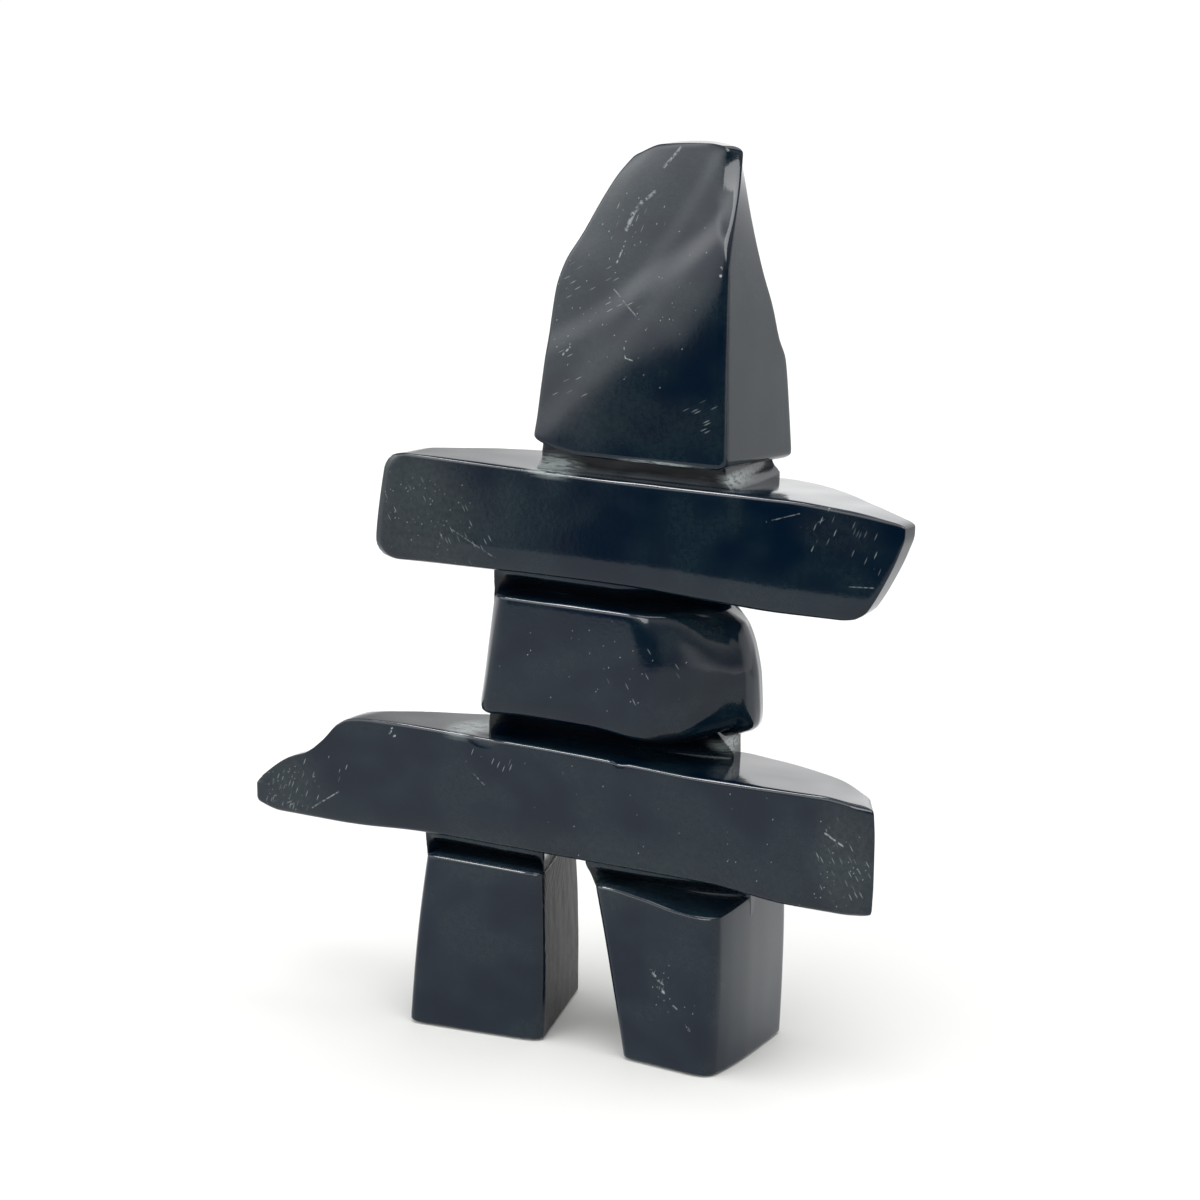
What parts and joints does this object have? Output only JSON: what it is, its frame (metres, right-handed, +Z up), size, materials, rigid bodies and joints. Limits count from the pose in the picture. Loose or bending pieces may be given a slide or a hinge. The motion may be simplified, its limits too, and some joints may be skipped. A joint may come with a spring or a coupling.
{
  "type": "inuit inukshuk sculpture",
  "caption": "Small inukshuk figure of stacked stones, carved in one piece from polished black stone, standing on two feet.",
  "frame": {"origin": "on the surface it stands on, under the middle of the carving's box", "axes": "+Z up, from the feet to the crown; +X along the arms, towards the arm ends on a viewer's right; the polished front faces -Y"},
  "size_m": [0.1928, 0.0432, 0.2408],
  "materials": {
    "stone": "polished"
  },
  "bodies": {
    "root": {"inukshuk_carving": "stone"}
  },
  "joints": []
}
